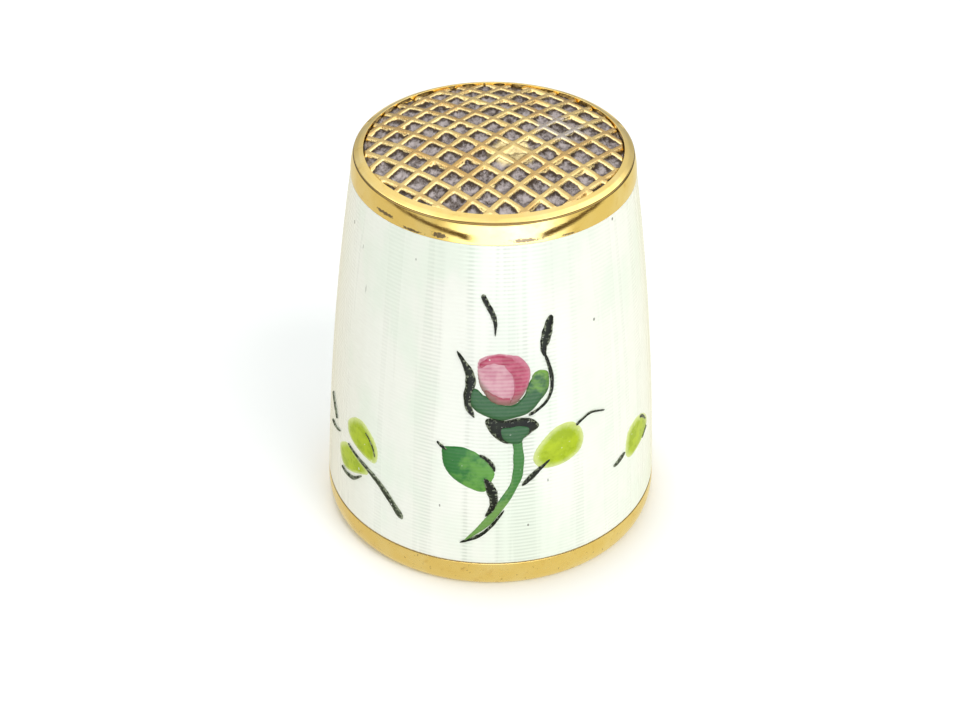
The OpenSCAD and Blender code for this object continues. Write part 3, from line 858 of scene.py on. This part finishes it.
OUTLINES = [
    [(-1.72, 13.75, 0.05), (-1.37, 13.19, 0.14), (-1.08, 12.63, 0.21), (-1.01, 12.06, 0.24),
     (-1.14, 11.41, 0.22), (-1.1, 10.78, 0.17), (-0.8, 10.2, 0.06)],
    [(3.05, 15.47, 0.12), (2.9, 15.0, 0.25), (2.74, 14.36, 0.25), (2.6, 13.78, 0.18), (2.67, 13.35, 0.08)],
    [(2.64, 13.55, 0.07), (2.85, 12.9, 0.09), (3.0, 12.17, 0.1), (2.98, 11.47, 0.09), (2.72, 10.89, 0.07),
     (2.27, 10.5, 0.06), (1.82, 10.25, 0.09)],
    [(-0.5, 16.8, 0.12), (-0.27, 16.34, 0.15), (0.02, 15.82, 0.13), (0.17, 15.3, 0.1),
     (0.17, 14.65, 0.03)],
    [(-0.52, 8.08, 0.06), (-0.16, 7.83, 0.1), (0.12, 7.43, 0.09), (0.2, 7.15, 0.04)],
    [(-0.27, 6.75, 0.12), (-0.03, 6.23, 0.22), (0.16, 5.54, 0.21), (0.07, 4.93, 0.15), (-0.22, 4.45, 0.04)],
    [(-2.6, 8.57, 0.04), (-2.36, 8.35, 0.08), (-2.1, 8.21, 0.05)],
    [(2.86, 7.55, 0.05), (2.37, 7.1, 0.12), (1.93, 6.66, 0.14), (1.5, 6.23, 0.08)],
    [(4.26, 9.06, 0.06), (4.63, 9.29, 0.06), (5.17, 9.46, 0.05), (6.02, 9.21, 0.03)],
    [(0.66, 4.81, 0.04), (0.07, 3.87, 0.08), (-0.52, 3.23, 0.09), (-1.4, 2.73, 0.05)]]


def spray(side, turn, flip, looks):
    """The painted pieces of one rosebud spray."""
    parts = [
        ("petals", "petals", [patch(BUD)], "petal_pink"),
        ("shading", "rose", [patch(ROSE_SIDE, OVER, centre=(1.35, 12.25)),
                             laid_flat(brush(ROSE_TOP, OVER)), laid_flat(brush(ROSE_LOW, OVER))],
         "deep_rose"),
        ("calyx", "green", [brush(CALYX_BOWL, OVER * 0.5, 12), patch(CUP, OVER * 1.6)], "calyx_green"),
        ("stem", "stem", [brush(STEM)], "calyx_green"),
        ("dark_leaf", "leaf", [patch(DARK_LEAF)], "leaf_green"),
        ("lime_leaf", "lime", [patch(LIME_LEAF)], "lime_green"),
        ("outlines", "dark", [brush(row, OVER) for row in OUTLINES] + [patch(CUP_SHADE, OVER, firm=4.0)],
         "outline_dark")]
    for part, look, shapes, slot in parts:
        node = f"{side}_rosebud_{part}"
        paint(f"{node}_paint", shapes, looks[look], turn, flip, node)


PAIR_LEAVES = [
    [(-0.03, 7.06), (0.61, 7.64), (1.25, 7.8), (1.74, 7.57), (2.2, 7.17), (2.49, 6.59), (2.45, 5.95),
     (2.2, 5.69), (1.62, 5.72), (0.92, 5.87), (0.29, 6.11), (-0.05, 6.47)],
    [(-0.9, 4.95), (-0.28, 5.53), (0.24, 5.65), (0.77, 5.47), (1.35, 5.25), (1.82, 5.05), (1.83, 4.78),
     (1.27, 4.47), (0.54, 4.12), (-0.21, 3.93), (-0.7, 4.19)]]
PAIR_STEMS = [
    [(0.12, 5.68, 0.03), (0.72, 5.5, 0.05), (1.35, 5.32, 0.1), (2.0, 5.09, 0.13), (2.68, 4.7, 0.16),
     (3.38, 4.05, 0.2), (4.05, 3.25, 0.22)],
    [(1.58, 7.27, 0.03), (1.87, 7.06, 0.05), (2.17, 6.64, 0.05), (2.32, 6.2, 0.02)],
    [(-0.5, 3.83, 0.04), (0.06, 3.74, 0.09), (0.71, 3.89, 0.11), (1.37, 4.45, 0.05)],
    [(-2.35, 7.15, 0.04), (-1.93, 6.75, 0.07), (-1.6, 6.45, 0.07), (-1.35, 6.15, 0.03)],
    [(-2.2, 5.5, 0.04), (-1.6, 5.53, 0.06), (-0.83, 5.73, 0.03)]]
SINGLE_LEAF = [(-0.86, 5.75), (-0.8, 6.35), (-0.59, 6.87), (-0.1, 7.15), (0.5, 7.17), (1.23, 6.85),
               (1.77, 6.23), (1.64, 5.8), (1.17, 5.55), (0.7, 5.35), (0.12, 5.2), (-0.38, 5.15),
               (-0.72, 5.35)]
SINGLE_STEM = [
    [(0.63, 6.98, 0.05), (0.99, 6.8, 0.1), (1.38, 6.35, 0.04)],
    [(1.5, 5.88, 0.03), (1.17, 5.72, 0.04), (0.82, 5.53, 0.03)],
    [(-0.92, 5.85, 0.04), (-1.18, 5.7, 0.12), (-1.5, 5.55, 0.13), (-1.8, 5.47, 0.04)]]


def sprig(side, turn, flip, leaves, stems, looks):
    """The painted leaves and stems of one sprig between two sprays."""
    paint(f"{side}_sprig_leaves_paint", [patch(o) for o in leaves], looks["lime"], turn, flip,
          f"{side}_sprig_leaves")
    paint(f"{side}_sprig_stems_paint", [brush(row, OVER) for row in stems], looks["thin"], turn, flip,
          f"{side}_sprig_stems")


# ---------------------------------------------------------------- studio

SKY_LOW = 0.5
SKY_HIGH = 0.88
FRONT = (0.17, -0.985, 0.0)  # direction of the window that the metal mirrors


def make_world():
    """Soft white surroundings; what the metal mirrors has a dim band near the horizon."""
    world = bpy.data.worlds.new("studio")
    bpy.context.scene.world = world
    world.use_nodes = True
    sky = Nodes(world.node_tree)
    x, y, z = sky.split(sky.add("TexCoord").outputs["Generated"])
    level = sky.vector("NORMALIZE", sky.combine(x, y, 0.0))
    front = sky.vector("DOT_PRODUCT", level, FRONT)
    light = sky.span(z, 0.0, 0.9, SKY_LOW, SKY_HIGH)
    soft_box = sky.math("ADD", sky.span(z, 0.34, 0.5, 0.0, 2.0), sky.span(z, 0.8, 0.96, 0.12, -0.66))
    window = sky.math("MULTIPLY", sky.span(front, 0.8, 0.93), sky.span(z, 0.2, 0.1, 0.0, 2.0))
    mirrored_front = sky.math("ADD", soft_box, window)
    mirrored_back = sky.span(z, 0.02, 0.85, 0.5, 1.1)
    mirrored = sky.fade(sky.span(front, -0.35, -0.75), mirrored_front, mirrored_back)
    seen = sky.fade(sky.ray("Is Glossy Ray"), light, mirrored)
    seen = sky.math("MAXIMUM", seen, sky.ray("Is Camera Ray"))
    tint = sky.vector("SCALE", (1.0, 1.0, 0.985), scale=seen)
    sky.put(sky.tree.nodes["Background"].inputs["Color"], tint)


# Name, kind, place and target in metres, size (degrees of a spot, metres of a disc), power, tint
LIGHTS = (("key", "SPOT", (0.17, -0.19, 0.3), (0.005, -0.03, 0.0), 42, 2.65, (1.0, 0.985, 0.96)),
          ("top", "AREA", (-0.03, 0.05, 0.3), (0, 0, 0.01), 0.12, 0.22, (0.97, 0.99, 1.0)))
SPOT_SOFTNESS = 0.11


def add_light(name, kind, place, target, size, power, tint):
    """A disc of light or a soft-edged spot, which the metal doesn't mirror."""
    light = bpy.data.lights.new(name, kind)
    if kind == "AREA":
        light.shape = "DISK"
        light.size = size
    else:
        light.spot_size = math.radians(size)
        light.spot_blend = 1.0
        light.shadow_soft_size = SPOT_SOFTNESS
    light.energy = power
    light.color = tint
    item = bpy.data.objects.new(name, light)
    item.location = place
    item.visible_glossy = False
    item.rotation_euler = (Vector(target) - Vector(place)).to_track_quat("-Z", "Y").to_euler()
    bpy.context.scene.collection.objects.link(item)


FLOOR_REACH = 3000.0
PAPER_LOW, PAPER_HIGH = colour(245, 248, 248), colour(248, 250, 250)
# Painted reflection that the floor gives the metal: left and right side, bright sheet in front, dark arc
GLOW_LEFT, GLOW_RIGHT = colour(230, 224, 200), colour(242, 238, 208)
GLOW_SHEET, GLOW_ARC = (3.0, 3.1, 3.3, 1.0), (0.16, 0.12, 0.08, 1.0)


def make_floor():
    """Pale paper, which glows for glossy rays as a painted reflection: bright in front, warm at the sides.
    """
    look = Look("floor_paper", Roughness=0.9)
    grain = look.noise(look.place, 0.05, 4.0)
    look.finish(look.mix(look.span(grain, 0.3, 0.7), PAPER_LOW, PAPER_HIGH))
    away = look.vector("LENGTH", look.combine(look.x, look.y, 0.0))
    level = look.vector("NORMALIZE", look.combine(look.x, look.y, 0.0))
    front = look.vector("DOT_PRODUCT", level, FRONT)
    right = look.math("DIVIDE", look.x, look.math("ADD", away, 0.01))
    window = look.math("POWER", look.span(front, 0.55, 1.0), 1.5)
    sheet = look.math("MULTIPLY", window, look.span(away, 13.0, 30.0))
    glow = look.mix(sheet, look.mix(look.span(right, -0.9, 0.9), GLOW_LEFT, GLOW_RIGHT), GLOW_SHEET)
    arc = look.math("DIVIDE", away, look.math("MULTIPLY_ADD", front, -3.5, 4.5))
    arc = look.span(look.math("ABSOLUTE", look.math("SUBTRACT", arc, 44.0)), 15.0, 8.0)
    rim = look.math("MULTIPLY", arc, look.span(front, 0.95, 0.87))
    glow = look.mix(rim, glow, GLOW_ARC)
    # painted reflection: glossy rays see the floor glow
    shine = look.add("Emission")
    look.put(shine.inputs["Color"], glow)
    pick = look.add("MixShader")
    look.put(pick.inputs[0], look.ray("Is Glossy Ray"))
    look.put(pick.inputs[1], look.shader.outputs[0])
    look.put(pick.inputs[2], shine.outputs[0])
    look.put(look.tree.nodes["Material Output"].inputs["Surface"], pick.outputs[0])
    mesh = bpy.data.meshes.new("floor")
    half = FLOOR_REACH * MM
    mesh.from_pydata([(-half, -half, 0), (half, -half, 0), (half, half, 0), (-half, half, 0)], [],
                     [(0, 1, 2, 3)])
    mesh.materials.append(look.material)
    floor = bpy.data.objects.new("floor", mesh)
    bpy.context.scene.collection.objects.link(floor)


# The camera looks down at a point on the axis, then turns a little in its own frame
CAMERA_DISTANCE = 103.1
CAMERA_RISE = math.radians(34.9)
CAMERA_TARGET_Z = 10.31
CAMERA_ROLL = math.radians(0.6)
CAMERA_PAN = math.radians(0.34)
CAMERA_TILT = math.radians(1.117)
CAMERA_LENS = 76.1


def make_camera():
    """Camera in front and above, turned a little so that the thimble sits off centre."""
    data = bpy.data.cameras.new("camera")
    data.lens = CAMERA_LENS
    data.sensor_width = 36.0
    data.clip_start = 0.001
    data.clip_end = 10.0
    camera = bpy.data.objects.new("camera", data)
    back = Vector((0, -math.cos(CAMERA_RISE), math.sin(CAMERA_RISE)))
    place = Vector((0, 0, CAMERA_TARGET_Z)) + back * CAMERA_DISTANCE
    aim = (-back).to_track_quat("-Z", "Y").to_matrix().to_4x4()
    turn = Matrix.Rotation(CAMERA_ROLL, 4, "Z") @ Matrix.Rotation(CAMERA_PAN, 4, "Y") \
        @ Matrix.Rotation(-CAMERA_TILT, 4, "X")
    camera.matrix_world = Matrix.Translation(place * MM) @ aim @ turn
    bpy.context.scene.collection.objects.link(camera)
    bpy.context.scene.camera = camera


# ---------------------------------------------------------------- build

make_camera()
make_world()
for light in LIGHTS:
    add_light(*light)
make_floor()
bpy.context.scene.view_settings.view_transform = "Standard"

make_side_shell(plain_metal_look("gilt_wall", GOLD_DEEP, GOLD, rough=0.26, ring_scale=4.0))
make_foot_rim(gold_look("gilt_foot", rough_low=0.2, rough_high=0.34, tarnish=0.34, streak=6.0,
                        groove_z=FOOT_H))
make_collar(gold_look("gilt_collar", rough_low=0.05, rough_high=0.13, tarnish=0.2, streak=7.0,
                      groove_z=SKIN_TOP_Z + COLLAR_H - 0.06, front_extra=0.03, marks=COLLAR_MARKS))
make_crown_cap(crown_look())
solder = plain_metal_look("silver_solder", SILVER_WORN, SOLDER_DULL, rough=0.4, ring_scale=9.0)
for node in ("foot_solder", "collar_solder", "cap_solder"):
    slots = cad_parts[node].data.materials
    slots.clear()
    slots.append(solder)

make_enamel(enamel_look())
looks = {
    "petals": paint_look("petal_pink", colour(198, 120, 142), colour(214, 156, 170), PINK_HALO,
                         soft=0.1, lines_show=0.16, wet=WET_EDGE),
    "rose": paint_look("deep_rose", colour(170, 44, 82), colour(196, 84, 116), colour(206, 132, 152),
                       soft=0.34, lines_show=0.08, wet=WET_EDGE),
    "green": paint_look("calyx_green", colour(30, 90, 42), colour(124, 172, 70), colour(92, 116, 76),
                        soft=0.1, lines_show=0.03, streaky=0.2, light_from=(1.0, 0.0, 4.7)),
    "stem": paint_look("stem_green", colour(56, 124, 50), colour(108, 154, 72), colour(164, 194, 138),
                       soft=0.1, lines_show=0.03, light_from=(1.0, 0.0, 3.4)),
    "leaf": paint_look("leaf_green", colour(32, 114, 42), colour(96, 158, 62), colour(128, 170, 112),
                       soft=0.03, lines_show=0.02, light_from=(1.0, -0.3, -3.2)),
    "lime": paint_look("lime_green", colour(160, 184, 0), colour(182, 204, 12), colour(222, 232, 158),
                       soft=0.36),
    "dark": paint_look("outline_dark", colour(8, 12, 6), colour(30, 36, 24), colour(70, 78, 60),
                       dry=0.78, soft=0.02, streaky=0.4, coat=0.08),
    "thin": paint_look("outline_thin", colour(34, 40, 28), colour(74, 82, 64), colour(104, 112, 92),
                       dry=0.95, soft=0.06, streaky=0.6, coat=0.08)}
spray("front", 0, False, looks)
spray("right", 120, False, looks)
spray("left", -120, True, looks)
sprig("left", -60, False, PAIR_LEAVES, PAIR_STEMS, looks)
sprig("right", 60, False, [SINGLE_LEAF], SINGLE_STEM, looks)
sprig("back", 180, True, PAIR_LEAVES, PAIR_STEMS, looks)
